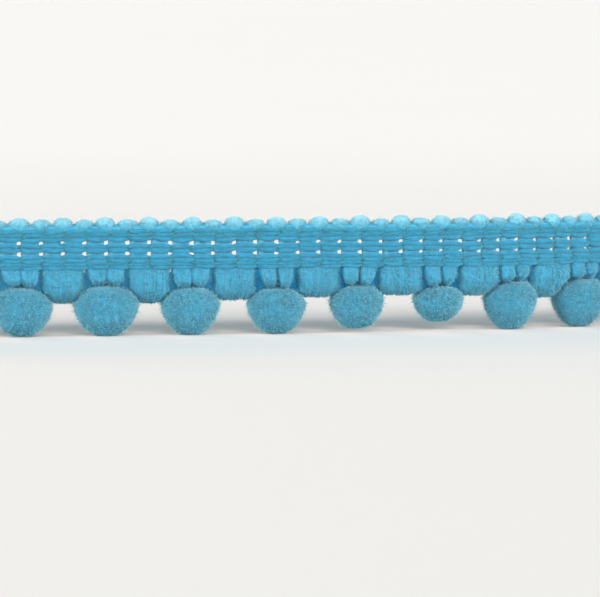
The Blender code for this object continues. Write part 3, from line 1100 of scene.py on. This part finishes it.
def ball_surface(pompom, facing):
    """Points of the ball's surface around its centre, for directions from it."""
    x = facing[..., 0] * pompom.width * MM / 2
    y = facing[..., 1] * pompom.depth * MM / 2
    rise = facing[..., 2]
    down = WAIST * pompom.height * MM / POLE_DROP
    z = np.where(rise > 0, rise * crown_height(pompom), np.maximum(rise, -POLE_DROP) * down)
    narrow = 1 - BALL_TAPER * np.clip(-rise, 0, 1)
    lean = -BALL_LEAN * pompom.sway * MM * np.clip(rise, 0, 1) ** 1.5  # up to where it is tied
    return np.stack([x * narrow + lean, y * narrow, z], -1)


def painted_under_shade(height, pompom):
    """Painted shade: the pile is darker under a pompom, where it rests."""
    return np.clip((height - (pompom.lift + 0.3) * MM) / (1.6 * MM), 0, 1)


def build_pompom(number, material):
    """A ball of cut pile: tufts combed this way and that, loose hairs, and the core they stand in."""
    pompom = POMPOMS[number]
    rng = dice(100 + number)
    centre = np.array([hang_place(number), 0.0, waist_height(pompom)])
    lowest = pompom.lift * MM + 0.02 * MM
    lumps, clumps, grains = waves(rng, 3.4 * MM), waves(rng, 1.0 * MM), waves(rng, 0.5 * MM, 40)
    brushed = [waves(rng, 1.3 * MM) for _ in range(3)]

    def swell(places):
        return (1 + 0.02 * lumps(places) + 0.012 * clumps(places))[:, None]

    facing = even_directions(TUFTS_PER_POMPOM, rng)
    surface = ball_surface(pompom, facing)
    lean = np.stack([field(surface) for field in brushed], -1) * 0.14 * MM
    lean = combed(lean + rng.normal(0, 0.17 * MM, lean.shape), surface, 0.75)
    grain = grains(surface)[:, None]
    reach = 0.985 + 0.014 * grain + rng.normal(0, 0.010, (TUFTS_PER_POMPOM, 1))
    tip = surface * swell(surface) * reach + lean
    lines = np.stack([surface * TUFT_ROOTS, tip], 1) + centre
    lines[:, :, 2] = np.maximum(lines[:, :, 2], lowest)
    thick = rng.uniform(0.8, 1.25, (TUFTS_PER_POMPOM, 1))
    strands = Strands()
    bright = 0.60 + 0.34 * grain + 0.16 * clumps(surface)[:, None]
    bright = np.clip(bright + rng.normal(0, 0.18, grain.shape), 0.05, 1.2)
    # Painted shade: the tufts are darker at their roots and under the pompom.
    tone = bright * np.array([0.45, 1.0]) * painted_under_shade(tip[:, 2:] + centre[2], pompom)
    strands.add(lines, BALL_TUFT * thick, 3, tone=tone, pointed=True)

    facing = even_directions(HAIRS_PER_POMPOM, rng)
    surface = ball_surface(pompom, facing)
    drift = unit(rng.normal(size=facing.shape))
    far = surface * (1 + rng.uniform(-0.01, 0.07, (HAIRS_PER_POMPOM, 1))) + drift * 0.42 * MM
    lines = np.stack([surface * 0.95, surface + drift * 0.12 * MM, far], 1) + centre
    lines[:, :, 2] = np.maximum(lines[:, :, 2], lowest)
    strands.add(lines, BALL_HAIR, 3, tone=1.0, pointed=True)
    ball = strands.build(f"cut_pile_{number + 1:02d}", material, spare=CORE_MAP)
    join_core(ball, pompom, centre, material, swell)
    return ball


def join_core(ball, pompom, centre, material, swell):
    """Adds the dense middle of the pompom, which its tufts stand in, along the foot of its map."""
    bpy.ops.object.select_all(action="DESELECT")
    bpy.ops.mesh.primitive_uv_sphere_add(segments=36, ring_count=22, radius=1.0)
    core = bpy.context.object
    facing = np.array([v.co for v in core.data.vertices])
    surface = ball_surface(pompom, unit(facing))
    place = lay(surface * swell(surface) * CORE_SIZE + centre)
    core.data.vertices.foreach_set("co", place.astype(np.float32).ravel())
    core.data.uv_layers[0].name = "OFBake"
    own_map = core.data.uv_layers["OFBake"].data
    spots = np.zeros(len(core.data.loops) * 2, np.float32)
    own_map.foreach_get("uv", spots)
    spots = spots.reshape(-1, 2) * (0.98, CORE_MAP - 0.01) + (0.01, 0.002)
    own_map.foreach_set("uv", spots.astype(np.float32).ravel())
    tone = core.data.attributes.new("tone", "FLOAT", "POINT")
    tone.data.foreach_set("value", np.full(len(core.data.vertices), CORE_PAINTED_SHADE, np.float32))
    core.data.attributes.new("yarn", "FLOAT_VECTOR", "POINT")
    core.data.shade_smooth()
    core.data.materials.append(material)
    ball.select_set(True)
    bpy.context.view_layer.objects.active = ball
    bpy.ops.object.join()


# ---- Light, floor and camera ----

CAMERA_AIM = (-5.18 * MM, 1.79 * MM, 4.12 * MM)
CAMERA_AZIMUTH = math.radians(19.075)
CAMERA_ELEVATION = math.radians(3.166)
CAMERA_DISTANCE = 400 * MM
CAMERA_LENS = 183.02
CAMERA_SENSOR = 36.0

# The floor, in metres: it is level from FLOOR_NEAR in front of the trim to RAMP_START behind it.
FLOOR_NEAR = 8.0
FLOOR_HALF = 3.0
RAMP_START = 0.75
RAMP_END = 14.0
RAMP_SLOPE = math.tan(math.radians(3.4))
RAMP_BEND = 0.3
ROOM_STRENGTH = 0.28
ROOM_COLOUR = (0.20, 0.66, 1.0, 1.0)
FLOOR_LIGHT = 1.09 * math.pi  # what all the lamps together give the floor

# Each lamp's azimuth, elevation and spread in degrees, its share of the floor's light, and its colour.
Lamp = namedtuple("Lamp", "name azimuth elevation spread share colour")
LAMPS = (
    Lamp("front_light", -8.0, 18.0, 34.0, 0.28, (1.04, 1.01, 0.95)),
    Lamp("front_left_light", -64.0, 12.0, 24.0, 0.18, (1.04, 1.01, 0.95)),
    Lamp("front_right_light", 50.0, 12.0, 24.0, 0.16, (1.04, 1.01, 0.95)),
    Lamp("back_light", 199.0, 15.0, 28.0, 0.12, (1.0, 0.6, 0.35)),
    Lamp("back_left_light", 250.0, 30.0, 50.0, 0.14, (0.70, 0.8, 0.70)),
)


def add_camera():
    """A long lens in front of the trim and to its left, looking down a little."""
    flat = math.cos(CAMERA_ELEVATION)
    ahead = Vector((
        math.sin(CAMERA_AZIMUTH) * flat,
        math.cos(CAMERA_AZIMUTH) * flat,
        -math.sin(CAMERA_ELEVATION),
    ))
    data = bpy.data.cameras.new("camera")
    data.lens = CAMERA_LENS
    data.sensor_width = CAMERA_SENSOR
    data.clip_start = 10 * MM
    camera = bpy.data.objects.new("camera", data)
    camera.location = Vector(CAMERA_AIM) - CAMERA_DISTANCE * ahead
    camera.rotation_mode = "QUATERNION"
    camera.rotation_quaternion = ahead.to_track_quat("-Z", "Y")
    bpy.context.scene.collection.objects.link(camera)
    bpy.context.scene.camera = camera


def add_sun(lamp):
    """A wide lamp far away. Azimuth 0 is in front of the trim, and 90 on its right."""
    a, e = math.radians(lamp.azimuth), math.radians(lamp.elevation)
    away = Vector((math.sin(a) * math.cos(e), -math.cos(a) * math.cos(e), math.sin(e)))
    data = bpy.data.lights.new(lamp.name, "SUN")
    data.angle = math.radians(lamp.spread)
    data.energy = lamp.share * FLOOR_LIGHT / math.sin(e)
    data.color = lamp.colour
    made = bpy.data.objects.new(lamp.name, data)
    made.location = away
    made.rotation_mode = "QUATERNION"
    made.rotation_quaternion = (-away).to_track_quat("-Z", "Y")
    bpy.context.scene.collection.objects.link(made)


def add_floor():
    """A pale floor that rises very gently far behind, so that it also fills the background."""
    bpy.ops.object.select_all(action="DESELECT")
    bpy.ops.mesh.primitive_plane_add(size=2.0)
    floor = bpy.context.object
    floor.name = "floor_sweep"
    run = RAMP_END - RAMP_START
    away = Vector((math.sin(CAMERA_AZIMUTH), math.cos(CAMERA_AZIMUTH), 0.0))
    aside = Vector((away.y, -away.x, 0.0))
    for corner in floor.data.vertices:
        depth = RAMP_START if corner.co.y > 0 else -FLOOR_NEAR
        corner.co = FLOOR_HALF * corner.co.x * aside + depth * away
    bpy.ops.object.mode_set(mode="EDIT")
    bpy.ops.mesh.select_mode(type="EDGE")
    bpy.ops.mesh.select_all(action="DESELECT")
    bpy.ops.object.mode_set(mode="OBJECT")
    for edge in floor.data.edges:
        edge.select = all(floor.data.vertices[v].co.dot(away) > 0 for v in edge.vertices)
    bpy.ops.object.mode_set(mode="EDIT")
    rise = run * away + Vector((0.0, 0.0, run * RAMP_SLOPE))
    bpy.ops.mesh.extrude_region_move(TRANSFORM_OT_translate={"value": rise})
    bpy.ops.object.mode_set(mode="OBJECT")
    bend = floor.modifiers.new("soft_bend", "BEVEL")
    bend.width = RAMP_BEND
    bend.segments = 12
    bend.limit_method = "ANGLE"
    bend.angle_limit = math.radians(1)
    bpy.ops.object.modifier_apply(modifier="soft_bend")
    bpy.ops.object.shade_smooth()
    floor.data.materials.append(paper_material())


def add_light():
    """The faint blue light of the room, and the lamps."""
    world = bpy.data.worlds.new("soft_room")
    bpy.context.scene.world = world
    world.use_nodes = True
    background = world.node_tree.nodes["Background"]
    background.inputs["Color"].default_value = ROOM_COLOUR
    background.inputs["Strength"].default_value = ROOM_STRENGTH
    for lamp in LAMPS:
        add_sun(lamp)


# ---- All together ----


def main():
    bpy.context.scene.view_settings.view_transform = "Standard"
    add_camera()
    add_floor()
    add_light()
    pieces = []
    heading_yarn = yarn_material("chain_yarn", HEADING_FINISH)
    for number, row in enumerate(ROWS):
        pieces.append((build_chain_row(number, row, heading_yarn), "heading", "heading_yarn"))
    # The loop yarn's paler colour is painted light.
    wefts = build_wefts(yarn_material("loop_yarn_painted_light", LOOP_PAINTED_LIGHT_FINISH))
    pieces.append((wefts, "heading", "heading_yarn"))
    pile = build_pile(yarn_material("pile_yarn_blue", PILE_FINISH))
    pieces.append((pile, "loop_fringe", "pile_yarn"))
    cut_pile = yarn_material("cut_pile_blue", BALL_FINISH)
    for number in range(len(POMPOMS)):
        pieces.append((build_pompom(number, cut_pile), f"pompom_{number + 1:02d}", "cut_pile"))
    for piece, node, slot in pieces:
        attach(piece, "root")
        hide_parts(node)


main()
